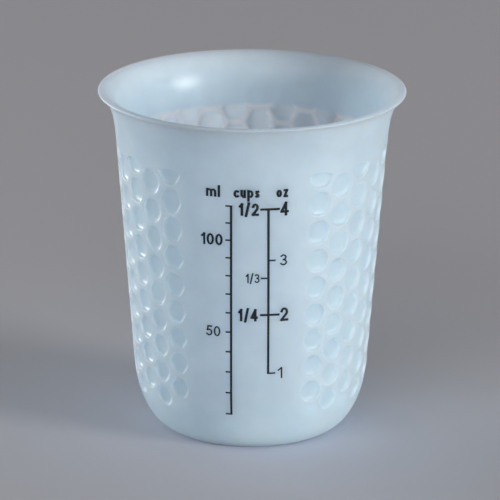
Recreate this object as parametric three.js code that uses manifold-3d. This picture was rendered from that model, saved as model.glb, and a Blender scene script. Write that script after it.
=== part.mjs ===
// A soft measuring cup: one moulded silicone shell with a printed scale on its smooth front.
// Millimetres, +Z up. The cup stands on z = 0 about the Z axis, and its scale faces -Y.
import * as THREE from "three";
import { mergeVertices } from "three/addons/utils/BufferGeometryUtils.js";
import Module from "manifold-3d";

// Outside of the shell
const cupHeight = 80;
const standRadius = 17.5; // the flat underside
const heelRadius = 27; // where the rounded heel meets the wall
const heelHeight = 16;
const heelFullness = 0.55; // how far the heel holds the line of floor and wall, as a share
const neckRadius = 31.04; // where the wall starts to flare
const flareHeight = 11.4; // neck to lip
const neckHold = 0.5; // how far the flare holds the line of the wall, as a share
const lipHold = 0.26; // and the line of the lip
const lipLean = THREE.MathUtils.degToRad(60); // from upright, where the flare ends
const lipRadius = 35.2;

// Thickness of the shell
const wallThickness = 2.2;
const floorThickness = 3.8;
const floorInset = 0.6; // the floor inside is this much smaller in radius than the underside
const lipThickness = 1.2; // square to the lip, which is cut level at its top
const lipOuterRound = 0.3;
const lipInnerRound = 0.6;

// Honeycomb relief: sunk cells between ribs that are level with the wall
const columnCount = 32; // columns of cells round the whole cup
const windowColumns = 5; // columns left out at the front, where the scale is printed
const reliefDrop = 0.3; // from the neck down to the straight edge that cuts the top row
const topRowShow = 0.95; // how much of the top row's cells is left above their middles
const reliefLowest = 8.5; // no cell reaches lower than this
const ribWidth = 1.2;
const cellDepth = 0.8;
const cellDraft = THREE.MathUtils.degToRad(15); // lean of a cell's sides, so that it leaves the mould

// Printed scale: plain lines, with places measured across the front from the middle
const millilitreLineX = -2.85;
const ounceLineX = 5.45;
const lineWidth = 0.5;
const tickWidth = 0.36;
const barWidth = 0.5; // the longer marks at a half and a quarter cup
const millilitreTick = 1.3; // lengths out from the line's middle
const ounceTick = 1.6;
const cupTick = 1.7;
const barReach = 2.2;
const millilitreStep = 10;
const millilitreTop = 120;
const millilitresPerOunce = 29.5735;
const ouncesPerCup = 8;
const inkThickness = 0.2; // drawn thicker than ink, so that it is a solid
const inkGap = 0.05;

// Facets
const heelSteps = 6;
const flareSteps = 5;
const lipSteps = 2;

const neckHeight = cupHeight - flareHeight;
const wallSlope = (neckRadius - heelRadius) / (neckHeight - heelHeight);
const wallLean = Math.atan(wallSlope);
const columnAngle = (2 * Math.PI) / columnCount;
// Half a hexagon's height for a radius of 1, where columns stand one and a half sides apart
const stepPerRadius = ((columnAngle / 1.5) * Math.sqrt(3)) / 2;

const wasm = await Module();
wasm.setup();

// A point of an outline moved square to a wall that leans out by an angle.
function moved(point, lean, distance) {
  return new THREE.Vector2(
    point.x + distance * Math.cos(lean),
    point.y - distance * Math.sin(lean),
  );
}

// A point of an outline moved up along such a wall.
function raised(point, lean, distance) {
  return moved(point, lean - Math.PI / 2, distance);
}

// The flare's curve, from the wall's lean at the neck to the lip's.
function flareBetween(neck, lip) {
  const reach = neck.distanceTo(lip);
  return new THREE.CubicBezierCurve(
    neck,
    raised(neck, wallLean, neckHold * reach),
    raised(lip, lipLean, -lipHold * reach),
    lip,
  );
}

// Radius and height of the shell's outline: up the outside, round the lip and down the inside.
function shellOutline() {
  const standEdge = new THREE.Vector2(standRadius, 0);
  const heelTop = new THREE.Vector2(heelRadius, heelHeight);
  const neck = new THREE.Vector2(neckRadius, neckHeight);
  const floorEdge = new THREE.Vector2(standRadius - floorInset, floorThickness);
  const heelTopInside = moved(heelTop, wallLean, -wallThickness);
  const neckInside = moved(neck, wallLean, -wallThickness);

  const lip = new THREE.Vector2(lipRadius - lipOuterRound, cupHeight - lipOuterRound);
  const lipOutside = moved(lip, lipLean, lipOuterRound);
  const lipBelow = moved(lipOutside, lipLean, -lipThickness);
  const lipCorner = raised(lipBelow, lipLean, (cupHeight - lipBelow.y) / Math.cos(lipLean));
  const lipTopInside = moved(lipCorner, 0, lipInnerRound);
  const lipInside = raised(lipCorner, lipLean, -lipInnerRound);

  const heel = new THREE.CubicBezierCurve(
    standEdge,
    moved(standEdge, 0, heelFullness * (heelRadius - standRadius)),
    moved(heelTop, wallLean + Math.PI / 2, heelFullness * heelHeight),
    heelTop,
  );
  const flare = flareBetween(neck, lipOutside);
  const outerRound = new THREE.EllipseCurve(
    lip.x, lip.y, lipOuterRound, lipOuterRound, 0, Math.PI / 2,
  );
  const innerRound = new THREE.QuadraticBezierCurve(lipTopInside, lipCorner, lipInside);
  const flareInside = flareBetween(neckInside, lipInside);
  const heelInside = new THREE.CubicBezierCurve(
    heelTopInside,
    moved(heelTopInside, wallLean + Math.PI / 2, heelFullness * (heelTopInside.y - floorThickness)),
    moved(floorEdge, 0, heelFullness * (heelTopInside.x - floorEdge.x)),
    floorEdge,
  );
  return {
    outside: [...heel.getPoints(heelSteps), ...flare.getPoints(flareSteps)],
    lipEdge: [...outerRound.getPoints(lipSteps), ...innerRound.getPoints(lipSteps).slice(0, -1)],
    inside: [
      ...flareInside.getPoints(flareSteps).reverse(),
      ...heelInside.getPoints(heelSteps),
    ],
  };
}

const { outside, lipEdge, inside } = shellOutline();

// Radius of the outside at a height, and how far the wall leans out there.
function outsideAt(height) {
  const above = outside.findIndex((point) => point.y > height);
  const high = outside[above];
  const low = outside[above - 1];
  const slope = (high.x - low.x) / (high.y - low.y);
  return { radius: low.x + slope * (height - low.y), lean: Math.atan(slope) };
}

// What the cup holds up to a height, in millilitres: a stack of cone slices.
function capacityBelow(height) {
  let cubicMillimetres = 0;
  for (let i = inside.length - 1; i > 0; i -= 1) {
    const low = inside[i];
    const high = inside[i - 1];
    if (low.y >= height) break;
    const share = Math.min(1, (height - low.y) / (high.y - low.y));
    const topRadius = low.x + share * (high.x - low.x);
    const meanSquare = (low.x ** 2 + low.x * topRadius + topRadius ** 2) / 3;
    cubicMillimetres += Math.PI * meanSquare * share * (high.y - low.y);
  }
  return cubicMillimetres / 1000;
}

function fillHeight(millilitres) {
  let low = floorThickness;
  let high = cupHeight;
  for (let halving = 0; halving < 40; halving += 1) {
    const middle = (low + high) / 2;
    if (capacityBelow(middle) < millilitres) low = middle;
    else high = middle;
  }
  return (low + high) / 2;
}

// Angles at which the cells' corners lie, a third of a column to each side of each column.
const cornerAngles = [];
for (let column = 0; column < columnCount; column += 1) {
  cornerAngles.push((column - 1 / 3) * columnAngle, (column + 1 / 3) * columnAngle);
}

// A point at an angle from the front (-Y) towards +X.
function placed(angle, radius, height) {
  return new THREE.Vector3(radius * Math.sin(angle), -radius * Math.cos(angle), height);
}

// Every face is three points, in order round its outer side.
function fanned(corners, faces) {
  for (let i = 2; i < corners.length; i += 1) {
    faces.push([corners[0], corners[i - 1], corners[i]]);
  }
}

// Turns a stretch of outline about the Z axis through the corner angles.
function turned(outline, faces) {
  for (let i = 1; i < outline.length; i += 1) {
    const [from, to] = [outline[i - 1], outline[i]];
    cornerAngles.forEach((angle, n) => {
      const next = n + 1 < cornerAngles.length ? cornerAngles[n + 1] : cornerAngles[0];
      const corners = [placed(angle, from.x, from.y)];
      if (from.x > 0) corners.push(placed(next, from.x, from.y));
      if (to.x > 0) corners.push(placed(next, to.x, to.y));
      corners.push(placed(angle, to.x, to.y));
      fanned(corners, faces);
    });
  }
}

function solidFrom(faces) {
  const geometry = new THREE.BufferGeometry().setFromPoints(faces.flat());
  return solidOf(geometry);
}

function solidOf(geometry) {
  const bare = geometry.clone();
  bare.deleteAttribute("normal");
  bare.deleteAttribute("uv");
  const merged = mergeVertices(bare, 1e-4);
  const mesh = new wasm.Mesh({
    numProp: 3,
    vertProperties: merged.attributes.position.array,
    triVerts: new Uint32Array(merged.index.array),
  });
  return new wasm.Manifold(mesh);
}

function geometryFrom(solid) {
  const mesh = solid.getMesh();
  const geometry = new THREE.BufferGeometry();
  geometry.setAttribute("position", new THREE.BufferAttribute(mesh.vertProperties, 3));
  geometry.setIndex(new THREE.BufferAttribute(mesh.triVerts, 1));
  geometry.computeVertexNormals();
  return geometry;
}

// Heights of the relief's steps from its top down: its straight edge, then half a cell each,
// which shrinks as the cup narrows.
const stepHeights = [neckHeight - reliefDrop];
let nextHeight = stepHeights[0] - topRowShow;
while (nextHeight > reliefLowest) {
  stepHeights.push(nextHeight);
  nextHeight -= outsideAt(nextHeight).radius * stepPerRadius;
}
const lastStep = stepHeights.length - 1;

// A point of the outside at a place counted in columns and steps.
function latticePoint(column, step) {
  return { angle: column * columnAngle, height: stepHeights[step] };
}

// Whether a place is the middle of a hexagon: those of odd columns start at step 1.
function isMiddle(column, step) {
  return (column + step) % 2 === 0;
}

// Whether the hexagon about a place is sunk. Columns count from the front on both sides.
function isSunk(column, step) {
  const fromFront = Math.min(column % columnCount, columnCount - (column % columnCount));
  return fromFront > windowColumns / 2 && step > 0 && step < lastStep;
}

function onOutside({ angle, height }, depth = 0) {
  const { radius, lean } = outsideAt(height);
  return placed(angle, radius - depth * Math.cos(lean), height + depth * Math.sin(lean));
}

// Draws a flat outline in by a distance on every side.
function drawnIn(corners, distance) {
  return corners.map((corner, i) => {
    const before = corners[(i + corners.length - 1) % corners.length];
    const after = corners[(i + 1) % corners.length];
    const arriving = corner.clone().sub(before).normalize();
    const leaving = after.clone().sub(corner).normalize();
    const inwards = new THREE.Vector2(-arriving.y - leaving.y, arriving.x + leaving.x);
    return inwards.multiplyScalar(distance / (1 + arriving.dot(leaving))).add(corner);
  });
}

// One cell: half the ribs round it, its leaning sides and its floor.
function addCell(column, step, faces) {
  const around = [
    latticePoint(column - 2 / 3, step),
    latticePoint(column - 1 / 3, step + 1),
    latticePoint(column + 1 / 3, step + 1),
    latticePoint(column + 2 / 3, step),
    latticePoint(column + 1 / 3, step - 1),
    latticePoint(column - 1 / 3, step - 1),
  ];
  const { radius } = outsideAt(stepHeights[step]);
  const middleAngle = column * columnAngle;
  const flat = around.map(
    ({ angle, height }) => new THREE.Vector2((angle - middleAngle) * radius, height),
  );
  const round = ({ x, y }) => ({ angle: middleAngle + x / radius, height: y });
  const mouth = drawnIn(flat, ribWidth / 2).map(round);
  const floor = drawnIn(flat, ribWidth / 2 + cellDepth * Math.tan(cellDraft)).map(round);
  const loops = [
    around.map((place) => onOutside(place)),
    mouth.map((place) => onOutside(place)),
    floor.map((place) => onOutside(place, cellDepth)),
  ];
  for (let i = 0; i < around.length; i += 1) {
    const next = (i + 1) % around.length;
    for (const [outer, inner] of [[loops[0], loops[1]], [loops[1], loops[2]]]) {
      fanned([outer[i], outer[next], inner[next], inner[i]], faces);
    }
  }
  const [left, lowLeft, lowRight, right, highRight, highLeft] = loops[2];
  fanned([lowLeft, lowRight, highRight, highLeft], faces);
  fanned([left, lowLeft, highLeft], faces);
  fanned([right, highRight, lowRight], faces);
}

// The half of a hexagon between a step and the next one down, left smooth.
function addSmoothHalf(column, step, faces) {
  const at = (side, height) => onOutside(latticePoint(column + side, height));
  const below = step + 1;
  const widest = isMiddle(column, step) ? step : below;
  fanned([at(-1 / 3, step), at(-1 / 3, below), at(1 / 3, below), at(1 / 3, step)], faces);
  fanned([at(1 / 3, step), at(1 / 3, below), at(2 / 3, widest)], faces);
  fanned([at(-1 / 3, below), at(-1 / 3, step), at(-2 / 3, widest)], faces);
}

// The outside between the relief's top and bottom.
function addReliefBand(faces) {
  for (let column = 0; column < columnCount; column += 1) {
    for (let step = 0; step <= lastStep; step += 1) {
      const middle = isMiddle(column, step) ? step : step + 1;
      if (middle === step && isSunk(column, step)) addCell(column, step, faces);
      if (step < lastStep && !isSunk(column, middle)) addSmoothHalf(column, step, faces);
    }
  }
}

function cupBody() {
  const faces = [];
  const [bandTop, bandBottom] = [stepHeights[0], stepHeights[lastStep]].map(
    (height) => new THREE.Vector2(outsideAt(height).radius, height),
  );
  const underside = new THREE.Vector2(0, 0);
  const floorMiddle = new THREE.Vector2(0, floorThickness);
  const belowBand = outside.filter((point) => point.y < bandBottom.y);
  const aboveBand = outside.filter((point) => point.y > bandTop.y);
  turned([underside, ...belowBand, bandBottom], faces);
  addReliefBand(faces);
  turned([bandTop, ...aboveBand, ...lipEdge, ...inside, floorMiddle], faces);
  return solidFrom(faces);
}

// The thin layer just off the outside in which the ink lies.
function inkLayer() {
  const near = outside.map((point) => moved(point, 0, inkGap));
  const far = outside.map((point) => moved(point, 0, inkGap + inkThickness));
  const faces = [];
  turned([...far, ...near.reverse(), far[0]], faces);
  return solidFrom(faces);
}

// A flat mark between two places across and two heights, deep enough to reach through the layer.
function mark(left, right, low, high) {
  const block = new THREE.BoxGeometry(right - left, lipRadius, high - low);
  block.translate((left + right) / 2, -lipRadius / 2, (low + high) / 2);
  return solidOf(block);
}

function levelMark(lineX, height, toLeft, toRight, width) {
  return mark(lineX - toLeft, lineX + toRight, height - width / 2, height + width / 2);
}

// An upright line from the lowest height to the highest, with its marks.
function ladder(lineX, heights, marks) {
  const low = Math.min(...heights) - tickWidth / 2;
  const high = Math.max(...heights) + tickWidth / 2;
  const line = mark(lineX - lineWidth / 2, lineX + lineWidth / 2, low, high);
  return wasm.Manifold.union([line, ...marks]).intersect(inkLayer());
}

function millilitreScale() {
  const heights = [];
  for (let amount = millilitreStep; amount <= millilitreTop; amount += millilitreStep) {
    heights.push(fillHeight(amount));
  }
  const ticks = heights.map((height) =>
    levelMark(millilitreLineX, height, millilitreTick, 0, tickWidth),
  );
  return ladder(millilitreLineX, heights, ticks);
}

function cupAndOunceScale() {
  const atOunces = (ounces) => fillHeight(ounces * millilitresPerOunce);
  const bars = [1 / 2, 1 / 4].map((share) => atOunces(share * ouncesPerCup));
  const cupTicks = [1 / 3].map((share) => atOunces(share * ouncesPerCup));
  const ounceTicks = [3, 1].map(atOunces);
  const marks = [
    ...bars.map((height) => levelMark(ounceLineX, height, barReach, barReach, barWidth)),
    ...cupTicks.map((height) => levelMark(ounceLineX, height, cupTick, 0, tickWidth)),
    ...ounceTicks.map((height) => levelMark(ounceLineX, height, 0, ounceTick, tickWidth)),
  ];
  return ladder(ounceLineX, [...bars, ...ounceTicks], marks);
}

const silicone = new THREE.MeshStandardMaterial({ color: 0xb9d3dc, roughness: 0.45, metalness: 0 });
const ink = new THREE.MeshStandardMaterial({ color: 0x15181c, roughness: 0.5, metalness: 0 });

function named(name, solid, material) {
  const mesh = new THREE.Mesh(geometryFrom(solid), material);
  mesh.name = name;
  return mesh;
}

const cup = new THREE.Group();
cup.add(named("cup_body", cupBody(), silicone));
cup.add(named("millilitre_scale", millilitreScale(), ink));
cup.add(named("cup_and_ounce_scale", cupAndOunceScale(), ink));

export default cup;
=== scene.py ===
import math
import bpy
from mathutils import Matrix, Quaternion, Vector
from mathutils.geometry import interpolate_bezier


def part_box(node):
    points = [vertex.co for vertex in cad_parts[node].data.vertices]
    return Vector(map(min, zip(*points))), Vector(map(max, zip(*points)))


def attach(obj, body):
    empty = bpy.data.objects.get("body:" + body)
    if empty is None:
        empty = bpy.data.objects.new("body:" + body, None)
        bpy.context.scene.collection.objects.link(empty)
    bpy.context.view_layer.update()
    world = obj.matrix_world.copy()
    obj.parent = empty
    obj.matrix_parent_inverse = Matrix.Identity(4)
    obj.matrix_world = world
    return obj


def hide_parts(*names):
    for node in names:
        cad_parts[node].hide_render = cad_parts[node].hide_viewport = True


mm = 0.001

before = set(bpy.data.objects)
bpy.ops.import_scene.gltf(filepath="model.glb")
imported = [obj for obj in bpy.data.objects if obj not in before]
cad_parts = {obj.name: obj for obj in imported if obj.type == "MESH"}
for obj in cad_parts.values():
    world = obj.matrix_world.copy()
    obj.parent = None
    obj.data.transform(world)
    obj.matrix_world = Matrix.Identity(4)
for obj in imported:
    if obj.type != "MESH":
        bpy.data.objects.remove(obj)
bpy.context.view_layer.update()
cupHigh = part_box("cup_body")[1]
print("frame loaded")


def linearColour(hexColour):
    channels = [int(hexColour[i:i + 2], 16) / 255 for i in (1, 3, 5)]
    return [c / 12.92 if c <= 0.04045 else ((c + 0.055) / 1.055) ** 2.4 for c in channels] + [1.0]


def fillInputs(tree, node, values):
    # Sets inputs by their order or name. A node given as a value is linked by its first output.
    for key, value in values.items():
        if isinstance(value, bpy.types.Node):
            value = value.outputs[0]
        if isinstance(value, bpy.types.NodeSocket):
            tree.links.new(value, node.inputs[key])
        else:
            node.inputs[key].default_value = value


def addNode(tree, kind, *ordered, named=None, **settings):
    # Adds a node with its settings, then its inputs, in order or by name.
    node = tree.nodes.new(kind)
    for name, value in settings.items():
        setattr(node, name, value)
    fillInputs(tree, node, dict(enumerate(ordered)) | (named or {}))
    return node


def addObject(name, data):
    added = bpy.data.objects.new(name, data)
    bpy.context.scene.collection.objects.link(added)
    return added


def addModifierTree(name, sockets):
    # A geometry tree with named inputs, and the identifiers that a modifier sets them by.
    tree = bpy.data.node_groups.new(name, "GeometryNodeTree")
    tree.interface.new_socket("Geometry", in_out="INPUT", socket_type="NodeSocketGeometry")
    tree.interface.new_socket("Geometry", in_out="OUTPUT", socket_type="NodeSocketGeometry")
    identifiers = {}
    for socketName, kind in sockets.items():
        socket = tree.interface.new_socket(
            socketName, in_out="INPUT", socket_type="NodeSocket" + kind)
        identifiers[socketName] = socket.identifier
    return tree, identifiers, addNode(tree, "NodeGroupInput").outputs


def madeMesh(name, source, tree, identifiers, values):
    # Runs the tree on the source object and gives a new object with the plain result.
    modifier = source.modifiers.new(name, "NODES")
    modifier.node_group = tree
    for socketName, value in values.items():
        modifier[identifiers[socketName]] = value
    graph = bpy.context.evaluated_depsgraph_get()
    mesh = bpy.data.meshes.new_from_object(source.evaluated_get(graph), depsgraph=graph)
    mesh.name = name
    source.modifiers.remove(modifier)
    bpy.data.objects.remove(source)
    return addObject(name, mesh)


# The shell's outline, in the sizes of its solid

cupShape = {
    "standRadius": 17.5 * mm,
    "heelRadius": 27 * mm,
    "heelHeight": 16 * mm,
    "heelFullness": 0.55,
    "neckRadius": 31.04 * mm,
    "flareHeight": 11.4 * mm,
    "neckHold": 0.5,
    "lipHold": 0.26,
    "lipLean": math.radians(60),
    "wallThickness": 2.2 * mm,
    "floorThickness": 3.8 * mm,
    "floorInset": 0.6 * mm,
    "lipThickness": 1.2 * mm,
    "lipOuterRound": 0.3 * mm,
    "lipInnerRound": 0.6 * mm,
}
cupHeight = cupHigh.z
lipRadius = min(cupHigh.x, cupHigh.y)
neckHeight = cupHeight - cupShape["flareHeight"]
wallLean = math.atan2(
    cupShape["neckRadius"] - cupShape["heelRadius"], neckHeight - cupShape["heelHeight"])


def moved(point, lean, distance):
    # A point of the outline, moved square to a wall that leans out by an angle.
    return Vector((point.x + distance * math.cos(lean), 0, point.z - distance * math.sin(lean)))


def raised(point, lean, distance):
    # A point of the outline, moved up along such a wall.
    return moved(point, lean - math.pi / 2, distance)


def straight(start, end):
    return start, start.lerp(end, 1 / 3), start.lerp(end, 2 / 3), end


def outlineStretches(shape):
    # Cubic stretches (start, two handles, end), from the underside's middle to the floor's.
    standEdge = Vector((shape["standRadius"], 0, 0))
    heelTop = Vector((shape["heelRadius"], 0, shape["heelHeight"]))
    neck = Vector((shape["neckRadius"], 0, neckHeight))
    floorEdge = Vector((shape["standRadius"] - shape["floorInset"], 0, shape["floorThickness"]))
    heelTopInside = moved(heelTop, wallLean, -shape["wallThickness"])
    neckInside = moved(neck, wallLean, -shape["wallThickness"])
    underside = Vector((0, 0, 0))
    floorMiddle = Vector((0, 0, shape["floorThickness"]))

    # The lip is cut level, with a small round at its outer corner and a larger one inside.
    lean, outerRound, innerRound = shape["lipLean"], shape["lipOuterRound"], shape["lipInnerRound"]
    lip = Vector((lipRadius - outerRound, 0, cupHeight - outerRound))
    lipOutside = moved(lip, lean, outerRound)
    lipTop = Vector((lip.x, 0, cupHeight))
    lipBelow = moved(lipOutside, lean, -shape["lipThickness"])
    lipCorner = raised(lipBelow, lean, (cupHeight - lipBelow.z) / math.cos(lean))
    lipTopInside = moved(lipCorner, 0, innerRound)
    lipInside = raised(lipCorner, lean, -innerRound)
    turn = lean + math.pi / 2  # of the outer round, from the flare's lean to level
    arcHandle = outerRound * 4 / 3 * math.tan(turn / 4)

    fullness = shape["heelFullness"]
    heelReach = fullness * (heelTop.x - standEdge.x)
    heelRise = fullness * heelTop.z
    insideReach = fullness * (heelTopInside.x - floorEdge.x)
    insideRise = fullness * (heelTopInside.z - floorEdge.z)

    def flare(low, high):
        reach = (high - low).length
        return (low, raised(low, wallLean, shape["neckHold"] * reach),
                raised(high, lean, -shape["lipHold"] * reach), high)

    return {
        "underside": straight(underside, standEdge),
        "heel": (standEdge, moved(standEdge, 0, heelReach),
                 raised(heelTop, wallLean, -heelRise), heelTop),
        "wall": straight(heelTop, neck),
        "flare": flare(neck, lipOutside),
        "lipRound": (lipOutside, raised(lipOutside, lean, arcHandle),
                     moved(lipTop, 0, arcHandle), lipTop),
        "lipTop": straight(lipTop, lipTopInside),
        "lipInside": (lipTopInside, lipTopInside.lerp(lipCorner, 2 / 3),
                      lipInside.lerp(lipCorner, 2 / 3), lipInside),
        "flareInside": tuple(reversed(flare(neckInside, lipInside))),
        "wallInside": straight(neckInside, heelTopInside),
        "heelInside": (heelTopInside, raised(heelTopInside, wallLean, -insideRise),
                       moved(floorEdge, 0, insideReach), floorEdge),
        "floor": straight(floorEdge, floorMiddle),
    }


curveResolution = 24
stretches = outlineStretches(cupShape)


def stretchPoints(name):
    return interpolate_bezier(*stretches[name], curveResolution + 1)


def stretchLength(name):
    points = stretchPoints(name)
    return sum((b - a).length for a, b in zip(points, points[1:]))


def outsideAt(height):
    # Radius of the outside at a height, and the distance along the outline to there.
    along = stretchLength("underside")
    for name in ("heel", "wall"):
        points = stretchPoints(name)
        for low, high in zip(points, points[1:]):
            share = (height - low.z) / (high.z - low.z)
            if share <= 1:
                return low.lerp(high, share).x, along + share * (high - low).length
            along += (high - low).length
    raise ValueError("the height is above the wall")


millilitre = 1e-6  # in cubic metres


def fillHeight(amount):
    # How high an amount in millilitres fills the inside: a stack of cone slices from the floor up.
    wanted = amount * millilitre
    points = [*reversed(stretchPoints("heelInside")), *reversed(stretchPoints("wallInside"))]
    for low, high in zip(points, points[1:]):
        volume = math.pi / 3 * (low.x ** 2 + low.x * high.x + high.x ** 2) * (high.z - low.z)
        if volume >= wanted:
            return low.z + wanted / volume * (high.z - low.z)
        wanted -= volume
    raise ValueError("the cup is too small for that")


def addOutlineCurve():
    # One open curve with a point where each stretch meets the next.
    curve = bpy.data.curves.new("cupOutline", "CURVE")
    curve.dimensions = "3D"
    curve.resolution_u = curveResolution
    spline = curve.splines.new("BEZIER")
    spline.bezier_points.add(len(stretches))
    for i, (start, startHandle, endHandle, end) in enumerate(stretches.values()):
        here, there = spline.bezier_points[i], spline.bezier_points[i + 1]
        here.co, here.handle_right, there.handle_left, there.co = start, startHandle, endHandle, end
    first, last = spline.bezier_points[0], spline.bezier_points[-1]
    first.handle_left, last.handle_right = first.co, last.co
    return addObject("cupOutline", curve)


def addWrapGroup():
    # Wraps what lies flat round the outline: up is a distance along it, and depth is square to it.
    tree, _, given = addModifierTree(
        "wrapRoundOutline", {"Outline": "Object", "Flat Radius": "Float"})
    place = addNode(tree, "GeometryNodeInputPosition")
    flat = addNode(tree, "ShaderNodeSeparateXYZ", place)
    outline = addNode(tree, "GeometryNodeObjectInfo", named={"Object": given["Outline"]})
    found = addNode(tree, "GeometryNodeSampleCurve", mode="LENGTH",
                    named={"Curves": outline.outputs["Geometry"], "Length": flat.outputs["Y"]})
    outwards = addNode(tree, "ShaderNodeVectorMath", found.outputs["Tangent"], (0, -1, 0),
                       operation="CROSS_PRODUCT")
    proud = addNode(tree, "ShaderNodeVectorMath", outwards, operation="SCALE",
                    named={"Scale": flat.outputs["Z"]})
    lifted = addNode(tree, "ShaderNodeVectorMath", found.outputs["Position"], proud,
                     operation="ADD")
    angle = addNode(tree, "ShaderNodeMath", flat.outputs["X"], given["Flat Radius"],
                    operation="DIVIDE")
    fromFront = addNode(tree, "ShaderNodeMath", angle, math.pi / 2, operation="SUBTRACT")
    turned = addNode(tree, "ShaderNodeVectorRotate", rotation_type="Z_AXIS",
                     named={"Vector": lifted, "Angle": fromFront})
    wrapped = addNode(tree, "GeometryNodeSetPosition",
                      named={"Geometry": given["Geometry"], "Position": turned})
    addNode(tree, "NodeGroupOutput", wrapped)
    return tree


# The honeycomb: sunk cells on a lattice that narrows with the cup

honeycomb = {
    "columns": 32,
    "windowColumns": 5,
    "reliefDrop": 0.3 * mm,  # from the neck down to the straight edge that cuts the top row
    "topRowShow": 0.95 * mm,
    "reliefLowest": 8.5 * mm,
    "ribWidth": 1.2 * mm,
    "cellDepth": 0.8 * mm,
    "cellDraft": math.radians(15),
    "mouthCrease": 0.3,  # how sharp the ribs' edges stay, from 0 to 1
    "floorCrease": 0.15,
}
# Rows of faces along each smooth stretch of the outline, before they are subdivided
stretchRows = {
    "underside": 3, "heel": 5, "wall": 1, "flare": 6, "lipRound": 2, "lipTop": 1, "lipInside": 1,
    "flareInside": 6, "wallInside": 8, "heelInside": 6, "floor": 3,
}
smoothings = 2
sewDistance = 0.01 * mm  # joins the band of cells to the smooth stretches
closeDistance = 0.005 * mm  # closes the seam and the middles of the underside and the floor

flatRadius = cupShape["heelRadius"]  # sheets are laid out flat at this radius
columnAngle = 2 * math.pi / honeycomb["columns"]
stepShare = columnAngle / 1.5 * math.sqrt(3) / 2  # half a cell's height for a radius of 1
sineLean = math.sin(wallLean)
stepDecay = stepShare * sineLean

reliefTop = neckHeight - honeycomb["reliefDrop"]
firstHeight = reliefTop - honeycomb["topRowShow"]  # middles of the top row's cells
firstRadius, firstAlong = outsideAt(firstHeight)
wallAlong = firstAlong - firstHeight / math.cos(wallLean)  # where the wall's line meets the ground


def alongAtStep(step):
    # Cells shrink with the radius, so the steps get shorter by the same share each time.
    if step == 0:
        return outsideAt(reliefTop)[1]
    return firstAlong - firstRadius / sineLean * (1 - math.exp(-stepDecay * (step - 1)))


lastStep = 1
while alongAtStep(lastStep + 1) > wallAlong + honeycomb["reliefLowest"] / math.cos(wallLean):
    lastStep += 1


cornerSides = (-2 / 3, -1 / 3)  # corners of the lattice left of a column's middle, in columns
cornerSlack = 0.1  # less than from one corner to the next


def seamAt(step):
    # Where the sheet starts round the cup, in columns: at a corner of the lattice.
    return cornerSides[step % 2]


def stretchEnds():
    ends = {}
    along = 0
    for name in stretches:
        ends[name] = (along, along + stretchLength(name))
        along = ends[name][1]
    return ends


def addFlatSheet():
    # The smooth stretches, laid out flat: across is round the cup, up is along the outline.
    ends = stretchEnds()
    # Below the band of cells the heel is cut short, and above it only the top of the wall is left.
    ends["heel"] = (ends["heel"][0], alongAtStep(lastStep))
    ends["wall"] = (alongAtStep(0), ends["wall"][1])
    belowBand, aboveBand = tuple(ends)[:2], tuple(ends)[2:]
    corners = sorted(c + side for c in range(honeycomb["columns"] + 1) for side in cornerSides)
    vertices, faces = [], []
    for names, step in ((belowBand, lastStep), (aboveBand, 0)):
        rows = [ends[names[0]][0]]
        for name in names:
            low, high = ends[name]
            count = stretchRows[name]
            rows += [low + (high - low) * (i + 1) / count for i in range(count)]
        start = seamAt(step)
        end = start + honeycomb["columns"]
        columns = [c for c in corners if start - cornerSlack < c < end + cornerSlack]
        base = len(vertices)
        vertices += [(c * columnAngle * flatRadius, y, 0) for y in rows for c in columns]
        width = len(columns)
        for row in range(len(rows) - 1):
            for column in range(width - 1):
                a = base + row * width + column
                faces.append((a, a + 1, a + 1 + width, a + width))
    mesh = bpy.data.meshes.new("flatSheet")
    mesh.from_pydata(vertices, [], faces)
    return addObject("flatSheet", mesh)


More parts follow.
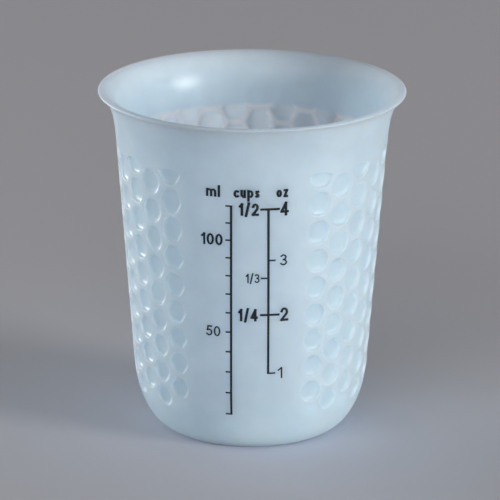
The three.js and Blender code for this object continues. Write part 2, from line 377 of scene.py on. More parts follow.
def addShellTree(wrapGroup):
    tree, identifiers, given = addModifierTree("honeycombShell", {
        "Outline": "Object", "Columns": "Int", "Window Columns": "Int", "Last Step": "Int",
        "Rib Width": "Float", "Cell Depth": "Float", "Draft Inset": "Float",
        "Mouth Crease": "Float", "Floor Crease": "Float", "Smoothings": "Int",
        "Material": "Material",
    })
    columnPitch = columnAngle * flatRadius
    stepPitch = stepShare * flatRadius
    maths, store = "ShaderNodeMath", "GeometryNodeStoreNamedAttribute"

    # Points on a lattice: every other column is a step lower, and one is spare on each side.
    rowCount = lastStep // 2 + 3
    spread = addNode(tree, maths, given["Columns"], 2, operation="ADD")
    spreadPoints = addNode(tree, maths, given["Columns"], 3, operation="ADD")
    grid = addNode(tree, "GeometryNodeMeshGrid", spread, rowCount - 1, spreadPoints, rowCount)
    place = addNode(tree, "GeometryNodeInputPosition")
    split = addNode(tree, "ShaderNodeSeparateXYZ", place)
    fromLeft = addNode(tree, maths, spread, 0.5, split.outputs["X"], operation="MULTIPLY_ADD")
    columnHere = addNode(tree, maths, fromLeft, 1, operation="SUBTRACT")
    column = addNode(tree, maths, columnHere, operation="ROUND")
    row = addNode(tree, maths, (rowCount - 1) / 2, split.outputs["Y"], operation="SUBTRACT")
    evenStep = addNode(tree, maths, row, 2, -2, operation="MULTIPLY_ADD")
    odd = addNode(tree, maths, column, 2, operation="FLOORED_MODULO")
    step = addNode(tree, maths, evenStep, odd, operation="ADD")
    latticeX = addNode(tree, maths, column, columnPitch, operation="MULTIPLY")
    latticeY = addNode(tree, maths, step, -stepPitch, operation="MULTIPLY")
    latticePlace = addNode(tree, "ShaderNodeCombineXYZ", latticeX, latticeY)
    lattice = addNode(tree, "GeometryNodeSetPosition",
                      named={"Geometry": grid, "Position": latticePlace})

    # Each point becomes the middle of a hexagon.
    triangles = addNode(tree, "GeometryNodeTriangulate", lattice, quad_method="SHORTEST_DIAGONAL")
    cells = addNode(tree, "GeometryNodeDualMesh", triangles)
    middle = addNode(tree, "ShaderNodeSeparateXYZ", place)
    middleColumn = addNode(tree, maths, middle.outputs["X"], columnPitch, operation="DIVIDE")
    middleStep = addNode(tree, maths, middle.outputs["Y"], -stepPitch, operation="DIVIDE")
    lastColumn = addNode(tree, maths, given["Columns"], 0.5, operation="SUBTRACT")
    beyond = addNode(tree, maths, middleColumn, lastColumn, operation="GREATER_THAN")
    lowest = addNode(tree, maths, given["Last Step"], 0.5, operation="ADD")
    below = addNode(tree, maths, middleStep, lowest, operation="GREATER_THAN")
    spare = addNode(tree, maths, beyond, below, operation="MAXIMUM")
    kept = addNode(tree, "GeometryNodeDeleteGeometry", cells, spare, domain="FACE")

    # Whole cells outside the window are sunk.
    otherWay = addNode(tree, maths, given["Columns"], middleColumn, operation="SUBTRACT")
    fromFront = addNode(tree, maths, middleColumn, otherWay, operation="MINIMUM")
    windowSide = addNode(tree, maths, given["Window Columns"], 0.5, operation="MULTIPLY")
    beside = addNode(tree, maths, fromFront, windowSide, operation="GREATER_THAN")
    underEdge = addNode(tree, maths, middleStep, 0.5, operation="GREATER_THAN")
    highest = addNode(tree, maths, given["Last Step"], 0.5, operation="SUBTRACT")
    aboveEnd = addNode(tree, maths, middleStep, highest, operation="LESS_THAN")
    between = addNode(tree, maths, underEdge, aboveEnd, operation="MULTIPLY")
    sunk = addNode(tree, maths, beside, between, operation="MULTIPLY")
    marked = addNode(tree, store, data_type="FLOAT", domain="FACE",
                     named={"Geometry": kept, "Name": "sunk", "Value": sunk})

    # The rows close up as the cup narrows, and straight edges cut the top and the bottom.
    decay = addNode(tree, maths, split.outputs["Y"], sineLean / flatRadius, stepDecay,
                    operation="MULTIPLY_ADD")
    shrink = addNode(tree, maths, decay, operation="EXPONENT")
    slant = firstRadius / sineLean
    freeAlong = addNode(tree, maths, shrink, slant, firstAlong - slant,
                        operation="MULTIPLY_ADD")
    cutAbove = addNode(tree, maths, freeAlong, alongAtStep(0), operation="MINIMUM")
    along = addNode(tree, maths, cutAbove, alongAtStep(lastStep), operation="MAXIMUM")
    narrowPlace = addNode(tree, "ShaderNodeCombineXYZ", split.outputs["X"], along)
    narrowed = addNode(tree, "GeometryNodeSetPosition",
                       named={"Geometry": marked, "Position": narrowPlace})

    # Ribs of one width stay at the wall's level. The cells between them sink, with leaning sides.
    radiusAtStart = firstRadius - sineLean * firstAlong
    radius = addNode(tree, maths, split.outputs["Y"], sineLean, radiusAtStart,
                     operation="MULTIPLY_ADD")
    halfCell = addNode(tree, maths, radius, stepShare, operation="MULTIPLY")
    halfRib = addNode(tree, maths, given["Rib Width"], 0.5, operation="MULTIPLY")
    halfMouth = addNode(tree, maths, halfCell, halfRib, operation="SUBTRACT")
    halfFloor = addNode(tree, maths, halfMouth, given["Draft Inset"], operation="SUBTRACT")
    mouthScale = addNode(tree, maths, halfMouth, halfCell, operation="DIVIDE")
    floorScale = addNode(tree, maths, halfFloor, halfMouth, operation="DIVIDE")
    depth = addNode(tree, maths, given["Cell Depth"], -1, operation="MULTIPLY")
    sinking = addNode(tree, "ShaderNodeCombineXYZ", 0, 0, depth)
    sunkMark = addNode(tree, "GeometryNodeInputNamedAttribute", "sunk", data_type="FLOAT")
    mouths = addNode(tree, "GeometryNodeExtrudeMesh", named={
        "Mesh": narrowed, "Selection": sunkMark, "Offset Scale": 0.0, "Individual": True})
    mouthTop = mouths.outputs["Top"]
    drawnIn = addNode(tree, "GeometryNodeScaleElements", mouths, mouthTop, mouthScale)
    creasedMouths = addNode(tree, store, data_type="FLOAT", domain="EDGE", named={
        "Geometry": drawnIn, "Selection": mouthTop, "Name": "crease",
        "Value": given["Mouth Crease"]})
    floors = addNode(tree, "GeometryNodeExtrudeMesh", named={
        "Mesh": creasedMouths, "Selection": mouthTop, "Offset Scale": 0.0, "Individual": True})
    floorTop = floors.outputs["Top"]
    drawnFloors = addNode(tree, "GeometryNodeScaleElements", floors, floorTop, floorScale)
    sunkFloors = addNode(tree, "GeometryNodeSetPosition", named={
        "Geometry": drawnFloors, "Selection": floorTop, "Offset": sinking})
    creasedFloors = addNode(tree, store, data_type="FLOAT", domain="EDGE", named={
        "Geometry": sunkFloors, "Selection": floorTop, "Name": "crease",
        "Value": given["Floor Crease"]})

    # The band joins the smooth stretches, and the whole sheet is rounded while it is flat.
    joined = addNode(tree, "GeometryNodeJoinGeometry")
    for part in (given["Geometry"], creasedFloors.outputs[0]):
        tree.links.new(part, joined.inputs[0])
    sewn = addNode(tree, "GeometryNodeMergeByDistance",
                   named={"Geometry": joined, "Distance": sewDistance})
    crease = addNode(tree, "GeometryNodeInputNamedAttribute", "crease", data_type="FLOAT")
    # Both sides of the seam keep their corners, so that they still fit each other.
    halfWidth = (honeycomb["columns"] - 1) / 2 * columnPitch
    fromMiddle = addNode(tree, maths, split.outputs["X"], halfWidth, operation="SUBTRACT")
    sideways = addNode(tree, maths, fromMiddle, operation="ABSOLUTE")
    onSeam = addNode(tree, maths, sideways, halfWidth, operation="GREATER_THAN")
    rounded = addNode(tree, "GeometryNodeSubdivisionSurface", boundary_smooth="PRESERVE_CORNERS",
                      named={"Mesh": sewn, "Level": given["Smoothings"], "Edge Crease": crease,
                             "Vertex Crease": onSeam})

    # The material reads which side of the wall a point is on, and its step of the lattice, which
    # holds for both sides.
    ends = stretchEnds()
    fold = ends["flare"][0] + ends["wallInside"][0]
    mirrored = addNode(tree, maths, fold, split.outputs["Y"], operation="SUBTRACT")
    outsideAlong = addNode(tree, maths, split.outputs["Y"], mirrored, operation="MINIMUM")
    share = addNode(tree, maths, outsideAlong, 1 / slant, 1 - firstAlong / slant,
                    operation="MULTIPLY_ADD")
    steps = addNode(tree, maths, share, math.exp(-stepDecay), operation="LOGARITHM")
    cellStep = addNode(tree, maths, steps, 1, operation="ADD")
    inside = addNode(tree, maths, split.outputs["Y"], ends["lipTop"][1], operation="GREATER_THAN")
    stepped = addNode(tree, store, data_type="FLOAT", domain="POINT",
                      named={"Geometry": rounded, "Name": "cellStep", "Value": cellStep})
    sided = addNode(tree, store, data_type="FLOAT", domain="POINT",
                    named={"Geometry": stepped, "Name": "insideWall", "Value": inside})

    wrapped = addNode(tree, "GeometryNodeGroup", node_tree=wrapGroup, named={
        "Geometry": sided, "Outline": given["Outline"], "Flat Radius": flatRadius})
    closed = addNode(tree, "GeometryNodeMergeByDistance",
                     named={"Geometry": wrapped, "Distance": closeDistance})
    shaded = addNode(tree, "GeometryNodeSetShadeSmooth", closed)
    solid = addNode(tree, "GeometryNodeRealizeInstances", shaded)
    finished = addNode(tree, "GeometryNodeSetMaterial",
                       named={"Geometry": solid, "Material": given["Material"]})
    addNode(tree, "NodeGroupOutput", finished)
    return tree, identifiers


def addCupBody(outline, wrapGroup, material):
    tree, identifiers = addShellTree(wrapGroup)
    body = madeMesh("siliconeShell", addFlatSheet(), tree, identifiers, {
        "Outline": outline, "Columns": honeycomb["columns"],
        "Window Columns": honeycomb["windowColumns"], "Last Step": lastStep,
        "Rib Width": honeycomb["ribWidth"], "Cell Depth": honeycomb["cellDepth"],
        "Draft Inset": honeycomb["cellDepth"] * math.tan(honeycomb["cellDraft"]),
        "Mouth Crease": honeycomb["mouthCrease"], "Floor Crease": honeycomb["floorCrease"],
        "Smoothings": smoothings, "Material": material})
    for name in ("sunk", "crease"):
        if name in body.data.attributes:
            body.data.attributes.remove(body.data.attributes[name])
    return body


# The print: plain lines, numbers and unit words, laid as a thin film of ink on the wall

scalePrint = {
    "millilitreLineX": -2.85 * mm,
    "ounceLineX": 5.45 * mm,
    "lineWidth": 0.5 * mm,
    "tickWidth": 0.36 * mm,
    "barWidth": 0.5 * mm,
    "millilitreTick": 1.3 * mm,
    "ounceTick": 1.6 * mm,
    "cupTick": 1.7 * mm,
    "barLeft": 1.85 * mm,
    "barRight": 2.5 * mm,
    "headingFoot": 63.1 * mm,
    "headingHeight": 2.8 * mm,  # of a tall letter
    "film": 0.06 * mm,
    "root": 0.03 * mm,  # how far the film reaches into the silicone
    "spacing": 0.35 * mm,  # of the points along a stroke
}
millilitresPerOunce = 29.5735
thirdCup = 8 / 3  # in ounces
millilitreMarks = range(10, 121, 10)
bold, medium, fine = 0.55 * mm, 0.46 * mm, 0.34 * mm
# Text, its left and right ends, the ounces that it stands beside, letter height, stroke width
millilitreNumbers = (
    ("100", -9.7 * mm, -4.8 * mm, 100 / millilitresPerOunce, 2.8 * mm, medium),
    ("50", -8.6 * mm, -5.35 * mm, 50 / millilitresPerOunce, 2.5 * mm, fine),
)
otherNumbers = (
    ("1/2", -1.15 * mm, 3.35 * mm, 4, 3.0 * mm, bold),
    ("1/3", 0.4 * mm, 3.5 * mm, thirdCup, 2.2 * mm, 0.28 * mm),
    ("1/4", -1.3 * mm, 3.1 * mm, 2, 3.0 * mm, bold),
    ("4", 8.05 * mm, 9.9 * mm, 4, 3.3 * mm, bold),
    ("3", 8.0 * mm, 9.6 * mm, 3, 2.7 * mm, fine),
    ("2", 8.1 * mm, 9.9 * mm, 2, 3.3 * mm, bold),
    ("1", 7.55 * mm, 8.6 * mm, 1, 2.7 * mm, fine),
)
# Left and right end, stroke width
headings = {
    "ml": (-8.5 * mm, -5.35 * mm, 0.5 * mm),
    "cups": (-2.3 * mm, 3.5 * mm, 0.52 * mm),
    "oz": (7.2 * mm, 9.75 * mm, 0.52 * mm),
}
arcStep = 15  # degrees between the points of a round stroke


def arc(middleX, middleY, radiusX, radiusY, start, end):
    # Points on part of an ellipse, in degrees from its right side.
    count = max(2, round(abs(end - start) / arcStep))
    angles = [math.radians(start + (end - start) * i / count) for i in range(count + 1)]
    return [(middleX + radiusX * math.cos(a), middleY + radiusY * math.sin(a)) for a in angles]


# Width of each letter, and the middle lines of its strokes, for a letter that is 1 high
letters = {
    "0": (0.56, [arc(0.28, 0.5, 0.28, 0.5, 90, 450)]),
    "1": (0.24, [[(0.24, 0), (0.24, 1)], [(0.24, 1), (0, 0.78)]]),
    "2": (0.58, [arc(0.29, 0.71, 0.27, 0.29, 170, -35) + [(0, 0)], [(0, 0), (0.58, 0)]]),
    "3": (0.54, [arc(0.26, 0.76, 0.24, 0.24, 150, -90), arc(0.26, 0.26, 0.28, 0.26, 90, -150)]),
    "4": (0.62, [[(0.46, 1), (0, 0.26)], [(0, 0.26), (0.62, 0.26)], [(0.46, 1), (0.46, 0)]]),
    "5": (0.54, [[(0.5, 1), (0.14, 1)], [(0.14, 1), (0.07, 0.58)],
                 arc(0.25, 0.32, 0.29, 0.32, 130, -150)]),
    "/": (0.34, [[(0, -0.12), (0.34, 1.1)]]),
    "m": (0.9, [[(0, 0), (0, 0.62)], arc(0.225, 0.4, 0.225, 0.22, 180, 0) + [(0.45, 0)],
                arc(0.675, 0.4, 0.225, 0.22, 180, 0) + [(0.9, 0)]]),
    "l": (0, [[(0, 0), (0, 1)]]),
    "c": (0.5, [arc(0.31, 0.31, 0.31, 0.31, 50, 310)]),
    "u": (0.48, [[(0, 0.62)] + arc(0.24, 0.24, 0.24, 0.24, 180, 360) + [(0.48, 0.62)],
                 [(0.48, 0.62), (0.48, 0)]]),
    "p": (0.62, [arc(0.31, 0.31, 0.31, 0.31, 0, 360), [(0, 0.62), (0, -0.36)]]),
    "s": (0.38, [arc(0.19, 0.465, 0.17, 0.155, 35, 270)
                 + arc(0.19, 0.155, 0.19, 0.155, 90, -145)[1:]]),
    "o": (0.62, [arc(0.31, 0.31, 0.31, 0.31, 0, 360)]),
    "z": (0.44, [[(0, 0.62), (0.44, 0.62)], [(0.44, 0.62), (0, 0)], [(0, 0), (0.44, 0)]]),
}
letterGap = 0.12  # clear space between letters, for the same height
samePoint = 0.001 * mm  # a stroke whose ends are this close is closed


def textStrokes(text, left, right, foot, height, weight):
    # A text's strokes on the front, fitted between its ends: points across and up, square ends.
    rise = height - weight
    gap = letterGap * height + weight
    clear = right - left - weight - gap * (len(text) - 1)
    spread = clear / sum(letters[letter][0] for letter in text)
    start = left + weight / 2
    strokes = []
    for letter in text:
        width, lines = letters[letter]
        for line in lines:
            points = [Vector((start + x * spread, foot + weight / 2 + y * rise)) for x, y in line]
            closed = (points[0] - points[-1]).length < samePoint
            if closed:
                points.pop()
            else:
                points[0] += (points[0] - points[1]).normalized() * weight / 2
                points[-1] += (points[-1] - points[-2]).normalized() * weight / 2
            strokes.append((points, weight, closed))
        start += width * spread + gap
    return strokes


def headingStrokes(text):
    left, right, weight = headings[text]
    return textStrokes(
        text, left, right, scalePrint["headingFoot"], scalePrint["headingHeight"], weight)


def ladderStrokes(lineX, heights, marks):
    # An upright line past the lowest and highest height, with marks (left, right, height, width).
    low = min(heights) - scalePrint["tickWidth"] / 2
    high = max(heights) + scalePrint["tickWidth"] / 2
    strokes = [([Vector((lineX, low)), Vector((lineX, high))], scalePrint["lineWidth"], False)]
    for left, right, height, width in marks:
        strokes.append(([Vector((left, height)), Vector((right, height))], width, False))
    return strokes


def numberStrokes(numbers):
    strokes = []
    for text, left, right, ounces, height, weight in numbers:
        foot = fillHeight(ounces * millilitresPerOunce) - height / 2
        strokes += textStrokes(text, left, right, foot, height, weight)
    return strokes


def millilitreStrokes():
    size, lineX = scalePrint, scalePrint["millilitreLineX"]
    heights = [fillHeight(amount) for amount in millilitreMarks]
    left, width = lineX - size["millilitreTick"], size["tickWidth"]
    marks = [(left, lineX, height, width) for height in heights]
    return (ladderStrokes(lineX, heights, marks) + numberStrokes(millilitreNumbers)
            + headingStrokes("ml"))


def cupAndOunceStrokes():
    size, lineX = scalePrint, scalePrint["ounceLineX"]
    height = {ounces: fillHeight(ounces * millilitresPerOunce)
              for ounces in (4, 3, thirdCup, 2, 1)}
    left, right, width = lineX - size["barLeft"], lineX + size["barRight"], size["barWidth"]
    marks = [(left, right, height[ounces], width) for ounces in (4, 2)]
    width = size["tickWidth"]
    marks.append((lineX - size["cupTick"], lineX, height[thirdCup], width))
    marks += [(lineX, lineX + size["ounceTick"], height[ounces], width) for ounces in (3, 1)]
    return (ladderStrokes(lineX, height.values(), marks) + numberStrokes(otherNumbers)
            + headingStrokes("cups") + headingStrokes("oz"))


def addFlatStrokes(name, strokes):
    # One spline for each stroke, laid out flat, with the stroke's width as its radius.
    curve = bpy.data.curves.new(name, "CURVE")
    curve.dimensions = "3D"
    for points, width, closed in strokes:
        spline = curve.splines.new("POLY")
        spline.points.add(len(points) - 1)
        spline.use_cyclic_u = closed
        for target, (across, height) in zip(spline.points, points):
            radius, along = outsideAt(height)
            target.co = (math.asin(across / radius) * flatRadius, along, 0, 1)
            target.radius = width
    return addObject(name, curve)


def addFilmTree(wrapGroup):
    tree, identifiers, given = addModifierTree("printedFilm", {
        "Outline": "Object", "Film": "Float", "Root": "Float", "Spacing": "Float",
        "Material": "Material"})
    spaced = addNode(tree, "GeometryNodeResampleCurve", mode="LENGTH",
                     named={"Curve": given["Geometry"], "Length": given["Spacing"]})
    level = addNode(tree, "GeometryNodeSetCurveNormal", spaced, mode="Z_UP")
    section = addNode(tree, "GeometryNodeCurvePrimitiveQuadrilateral",
                      named={"Width": 1.0, "Height": 1.0})
    width = addNode(tree, "GeometryNodeInputRadius")
    bars = addNode(tree, "GeometryNodeCurveToMesh", named={
        "Curve": level, "Profile Curve": section, "Scale": width, "Fill Caps": True})
    place = addNode(tree, "ShaderNodeSeparateXYZ", addNode(tree, "GeometryNodeInputPosition"))
    upper = addNode(tree, "ShaderNodeMath", place.outputs["Z"], 0.0, operation="GREATER_THAN")
    whole = addNode(tree, "ShaderNodeMath", given["Film"], given["Root"], operation="ADD")
    raisedBy = addNode(tree, "ShaderNodeMath", upper, whole, operation="MULTIPLY")
    depth = addNode(tree, "ShaderNodeMath", raisedBy, given["Root"], operation="SUBTRACT")
    filmPlace = addNode(tree, "ShaderNodeCombineXYZ", place.outputs["X"], place.outputs["Y"], depth)
    pressed = addNode(tree, "GeometryNodeSetPosition",
                      named={"Geometry": bars, "Position": filmPlace})
    wrapped = addNode(tree, "GeometryNodeGroup", node_tree=wrapGroup, named={
        "Geometry": pressed, "Outline": given["Outline"], "Flat Radius": flatRadius})
    solid = addNode(tree, "GeometryNodeRealizeInstances", wrapped)
    finished = addNode(tree, "GeometryNodeSetMaterial",
                       named={"Geometry": solid, "Material": given["Material"]})
    addNode(tree, "NodeGroupOutput", finished)
    return tree, identifiers


# Materials

noiseSpread = (0.3, 0.7)  # where most of a noise texture's values lie
colourA, colourB, mixedColour = 6, 7, 2  # a mix node's sockets for colours

siliconeLook = {
    "wall": "#C0DEF8",
    # Painted light and shade on the smooth inner face: ribs painted much paler than the wall and
    # cells a little paler, for light shining through the wall's thick and thin parts.
    "ribsInsidePaintedLight": "#F2FAFF",
    "cellsInsidePaintedLight": "#D2E9F8",
    "cellFade": (0.62, 0.92),  # where a cell gives way to its ribs, in shares of half its height
    "topFade": (0.6, 0.9),  # where the top row sets in, in steps of the lattice
    "bottomTrim": 0.2,  # what the lowest row lacks, in steps
    "outsideRoughness": 0.42,
    "insideRoughness": 0.32,
    "cloudSize": 7 * mm,
    "cloudShade": 0.045,  # how much the clouds lighten and darken the colour
    "cloudRoughness": 0.03,
    "grainSize": 0.35 * mm,
    "grainHeight": 0.006 * mm,
    "ior": 1.41,
    "lightReach": 17 * mm,  # how far light spreads inside the silicone
    "cellReach": 10 * mm,  # the same for light that meets a cell, where the wall is thinner
    "reachByColour": (0.9, 1.0, 1.1),  # red, green and blue
    "transmission": 0.35,
}


def addMaterial(name):
    material = bpy.data.materials.new(name)
    material.use_nodes = True
    return material, material.node_tree, material.node_tree.nodes["Principled BSDF"]


def addHoneycombMasks(tree, look):
    # Where the sunk cells are, and their ribs, on both sides of the wall, from the lattice.
    maths = "ShaderNodeMath"
    objectPlace = addNode(tree, "ShaderNodeTexCoord").outputs["Object"]
    place = addNode(tree, "ShaderNodeSeparateXYZ", objectPlace)
    toFront = addNode(tree, maths, place.outputs["Y"], -1, operation="MULTIPLY")
    angle = addNode(tree, maths, place.outputs["X"], toFront, operation="ARCTAN2")
    column = addNode(tree, maths, angle, columnAngle, operation="DIVIDE")
    step = addNode(tree, "ShaderNodeAttribute", attribute_name="cellStep").outputs["Fac"]
    # Distance from the middle of the nearest cell in even columns, and of the nearest in odd ones
    across = addNode(tree, maths, column, 1, operation="PINGPONG")
    upwards = addNode(tree, maths, step, 1, operation="PINGPONG")
    halfUp = addNode(tree, maths, upwards, 0.5, operation="MULTIPLY")
    slanting = addNode(tree, maths, across, 1.5, halfUp, operation="MULTIPLY_ADD")
    evenDistance = addNode(tree, maths, slanting, upwards, operation="MAXIMUM")
    oddUp = addNode(tree, maths, 1, upwards, operation="SUBTRACT")
    oddSlanting = addNode(tree, maths, 2, slanting, operation="SUBTRACT")
    oddDistance = addNode(tree, maths, oddUp, oddSlanting, operation="MAXIMUM")
    distance = addNode(tree, maths, evenDistance, oddDistance, operation="MINIMUM")
    soft = addNode(tree, "ShaderNodeMapRange", distance, *look["cellFade"], 1.0, 0.0,
                   interpolation_type="SMOOTHSTEP")
    fromFront = addNode(tree, maths, column, operation="ABSOLUTE")
    windowSide = honeycomb["windowColumns"] / 2
    beside = addNode(tree, maths, fromFront, windowSide, operation="GREATER_THAN")
    underEdge = addNode(tree, "ShaderNodeMapRange", step, *look["topFade"], 0.0, 1.0)
    aboveEnd = addNode(tree, maths, step, lastStep - look["bottomTrim"], operation="LESS_THAN")
    between = addNode(tree, maths, underEdge, aboveEnd, operation="MULTIPLY")
    band = addNode(tree, maths, beside, between, operation="MULTIPLY")
    cells = addNode(tree, maths, soft, band, operation="MULTIPLY")
    return cells, addNode(tree, maths, band, cells, operation="SUBTRACT")


def siliconeMaterial(look):
    # Platinum-cured silicone rubber from a polished steel mould: milky and satin, with shadows that
    # light inside it softens. The inner face is smooth, so the honeycomb seen from within is
    # painted
    # light and shade: ribs much paler than the wall, cells a little paler, for light through the
    # wall.
    material, tree, shader = addMaterial("mouldedSilicone")
    objectPlace = addNode(tree, "ShaderNodeTexCoord").outputs["Object"]
    inside = addNode(tree, "ShaderNodeAttribute", attribute_name="insideWall").outputs["Fac"]
    cells, ribs = addHoneycombMasks(tree, look)
    # Painted light and shade on the inner face only: the ribs' pale colour, then the cells' darker
    # one.
    ribsInsidePaintedLight = addNode(tree, "ShaderNodeMath", ribs, inside, operation="MULTIPLY")
    cellsInsidePaintedLight = addNode(tree, "ShaderNodeMath", cells, inside, operation="MULTIPLY")
    paintedRibLight = addNode(tree, "ShaderNodeMix", data_type="RGBA", named={
        "Factor": ribsInsidePaintedLight, colourA: linearColour(look["wall"]),
        colourB: linearColour(look["ribsInsidePaintedLight"])})
    colour = addNode(tree, "ShaderNodeMix", data_type="RGBA", named={
        "Factor": cellsInsidePaintedLight, colourA: paintedRibLight.outputs[mixedColour],
        colourB: linearColour(look["cellsInsidePaintedLight"])})
    clouds = addNode(tree, "ShaderNodeTexNoise", named={
        "Vector": objectPlace, "Scale": 1 / look["cloudSize"], "Detail": 3.0})
    brightness = addNode(tree, "ShaderNodeMapRange", clouds, *noiseSpread,
                         1 - look["cloudShade"], 1 + look["cloudShade"])
    clouded = addNode(tree, "ShaderNodeVectorMath", colour.outputs[mixedColour],
                      operation="SCALE", named={"Scale": brightness})
    roughness = addNode(tree, "ShaderNodeMapRange", inside, 0.0, 1.0,
                        look["outsideRoughness"], look["insideRoughness"])
    unevenness = addNode(tree, "ShaderNodeMapRange", clouds, *noiseSpread,
                         -look["cloudRoughness"], look["cloudRoughness"])
    finish = addNode(tree, "ShaderNodeMath", roughness, unevenness, operation="ADD")
    grain = addNode(tree, "ShaderNodeTexNoise", named={
        "Vector": objectPlace, "Scale": 1 / look["grainSize"], "Detail": 2.0})
    bump = addNode(tree, "ShaderNodeBump", named={
        "Strength": 1.0, "Distance": look["grainHeight"], "Height": grain})
    cellsOutside = addNode(tree, "ShaderNodeMath", cells, cellsInsidePaintedLight, operation="SUBTRACT")
    reach = addNode(tree, "ShaderNodeMapRange", cellsOutside, 0.0, 1.0,
                    look["lightReach"], look["cellReach"])
    fillInputs(tree, shader, {
        "Base Color": clouded, "Roughness": finish, "Normal": bump, "IOR": look["ior"],
        "Subsurface Weight": 1.0, "Subsurface Radius": look["reachByColour"],
        "Subsurface Scale": reach, "Transmission Weight": look["transmission"]})
    return material


inkLook = {
    "colour": "#0A121A",
    "shade": (0.85, 1.2),  # how much the grain darkens and lightens the colour
    "roughness": 0.55,
    "roughnessSpread": 0.06,
    "grainSize": 0.25 * mm,
    "grainHeight": 0.004 * mm,
    "ior": 1.41,
    "specularLevel": 0.35,
}


def inkMaterial(look):
    # Screen-printed silicone ink: matt black, a little uneven from the mesh of the screen.
    material, tree, shader = addMaterial("screenPrintedInk")
    objectPlace = addNode(tree, "ShaderNodeTexCoord").outputs["Object"]
    grain = addNode(tree, "ShaderNodeTexNoise", named={
        "Vector": objectPlace, "Scale": 1 / look["grainSize"], "Detail": 2.0})
    shade = addNode(tree, "ShaderNodeMapRange", grain, *noiseSpread, *look["shade"])
    colour = addNode(tree, "ShaderNodeVectorMath", linearColour(look["colour"])[:3],
                     operation="SCALE", named={"Scale": shade})
    finish = addNode(tree, "ShaderNodeMapRange", grain, *noiseSpread,
                     look["roughness"] - look["roughnessSpread"],
                     look["roughness"] + look["roughnessSpread"])
    bump = addNode(tree, "ShaderNodeBump", named={
        "Strength": 1.0, "Distance": look["grainHeight"], "Height": grain})
    fillInputs(tree, shader, {
        "Base Color": colour, "Roughness": finish, "Normal": bump, "IOR": look["ior"],
        "Specular IOR Level": look["specularLevel"]})
    return material


wrapGroup = addWrapGroup()
cupOutline = addOutlineCurve()

cupBody = addCupBody(cupOutline, wrapGroup, siliconeMaterial(siliconeLook))
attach(cupBody, "root")
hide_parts("cup_body")
print("shell made:", len(cupBody.data.vertices), "points")

filmTree, filmInputs = addFilmTree(wrapGroup)
ink = inkMaterial(inkLook)
prints = (
    ("printedMillilitreScale", millilitreStrokes(), "millilitre_scale"),
    ("printedCupAndOunceScale", cupAndOunceStrokes(), "cup_and_ounce_scale"),
)
for name, strokes, node in prints:
    film = madeMesh(name, addFlatStrokes(name, strokes), filmTree, filmInputs, {
        "Outline": cupOutline, "Film": scalePrint["film"], "Root": scalePrint["root"],
        "Spacing": scalePrint["spacing"], "Material": ink})
    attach(film, "root")
    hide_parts(node)
    print(name, "made:", len(film.data.vertices), "points")
bpy.data.objects.remove(cupOutline)


# Stage

studio = {
    "cameraDistance": 1.0,
    "cameraAzimuth": math.radians(3.2),  # from the middle of the print towards +X
    "cameraElevation": math.radians(17.45),
    "aim": Vector((-0.0003, 0, 0.0414)),
    "roll": math.radians(0.3),
    "lens": 312.5,  # in mm, on the usual 36 mm sensor
    "cameraNear": 0.01,
    "floorColour": "#CAC9CD",
    "floorRoughness": 0.8,
    "floorReach": 1.2,  # from its middle to its edges
    "backdropColour": "#929196",  # what is seen beyond the floor
    "roomColour": "#F4F6FA",
    "roomLight": 0.14,
    "softboxDistance": 3.6,
    # Name, direction from the cup, width and height, and power in watts. The low ones reach the
    # outside only, past the rim.
    "softboxes": (
        ("rightSoftbox", (0.89, -0.43, 0.145), (1.1, 0.7), 94),
        ("frontSoftbox", (-0.34, -0.85, 0.42), (4.4, 1.9), 48),
        ("lowLeftSoftbox", (-0.88, 0.46, 0.033), (1.8, 0.42), 125),
        ("lowRightSoftbox", (0.9, -0.35, 0.033), (3.0, 0.42), 65),
        ("lowFrontSoftbox", (-0.1, -0.99, 0.033), (3.6, 0.42), 55),
    ),
}


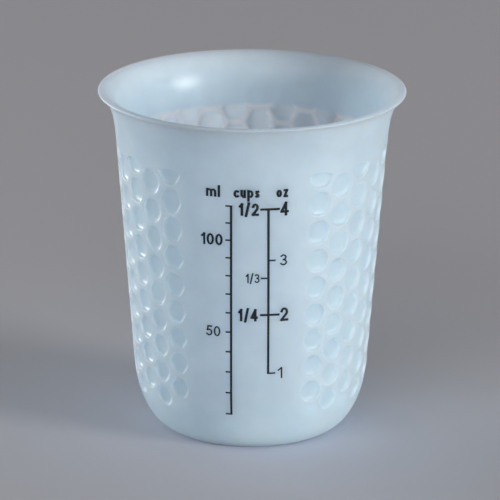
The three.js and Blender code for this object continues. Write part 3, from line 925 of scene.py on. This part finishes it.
def addCamera():
    camera = addObject("camera", bpy.data.cameras.new("camera"))
    azimuth, elevation = studio["cameraAzimuth"], studio["cameraElevation"]
    away = Vector((math.sin(azimuth) * math.cos(elevation),
                   -math.cos(azimuth) * math.cos(elevation), math.sin(elevation)))
    camera.location = studio["aim"] + away * studio["cameraDistance"]
    facing = away.to_track_quat("Z", "Y") @ Quaternion((0, 0, 1), studio["roll"])
    camera.rotation_euler = facing.to_euler()
    camera.data.lens = studio["lens"]
    camera.data.clip_start = studio["cameraNear"]
    bpy.context.scene.camera = camera


def addFloor():
    reach = studio["floorReach"]
    corners = [(-reach, -reach, 0), (reach, -reach, 0), (reach, reach, 0), (-reach, reach, 0)]
    mesh = bpy.data.meshes.new("floor")
    mesh.from_pydata(corners, [], [(0, 1, 2, 3)])
    floor = addObject("floor", mesh)
    # Matt paint: an even tone with no glare from the lamps.
    material, tree, shader = addMaterial("paintedStudioFloor")
    fillInputs(tree, shader, {
        "Base Color": linearColour(studio["floorColour"]), "Roughness": studio["floorRoughness"]})
    mesh.materials.append(material)


def addLight(name, position, target, width, height, watts):
    lamp = bpy.data.lights.new(name, "AREA")
    lamp.shape = "RECTANGLE"
    lamp.size, lamp.size_y = width, height
    lamp.energy = watts
    light = addObject(name, lamp)
    light.location = position
    light.visible_camera = False  # no view shows a softbox
    light.rotation_euler = (position - target).to_track_quat("Z", "Y").to_euler()


def addWorld():
    # The room's light, and a plain grey backdrop for what looks at it or mirrors it.
    world = bpy.data.worlds.new("studioWorld")
    bpy.context.scene.world = world
    world.use_nodes = True
    tree = world.node_tree
    path = addNode(tree, "ShaderNodeLightPath").outputs
    mirrored = addNode(tree, "ShaderNodeMath", path["Is Glossy Ray"], path["Is Transmission Ray"],
                       operation="MAXIMUM")
    seen = addNode(tree, "ShaderNodeMath", path["Is Camera Ray"], mirrored, operation="MAXIMUM")
    light = [c * studio["roomLight"] for c in linearColour(studio["roomColour"])]
    colour = addNode(tree, "ShaderNodeMix", data_type="RGBA", named={
        "Factor": seen, colourA: light, colourB: linearColour(studio["backdropColour"])})
    fillInputs(tree, tree.nodes["Background"], {"Color": colour.outputs[mixedColour]})


addCamera()
addFloor()
addWorld()
cupMiddle = Vector((0, 0, cupHeight / 2))
for name, direction, size, watts in studio["softboxes"]:
    position = cupMiddle + Vector(direction).normalized() * studio["softboxDistance"]
    addLight(name, position, cupMiddle, *size, watts)

bpy.context.scene.view_settings.view_transform = "Standard"
print("studio set:", len(studio["softboxes"]), "softboxes")
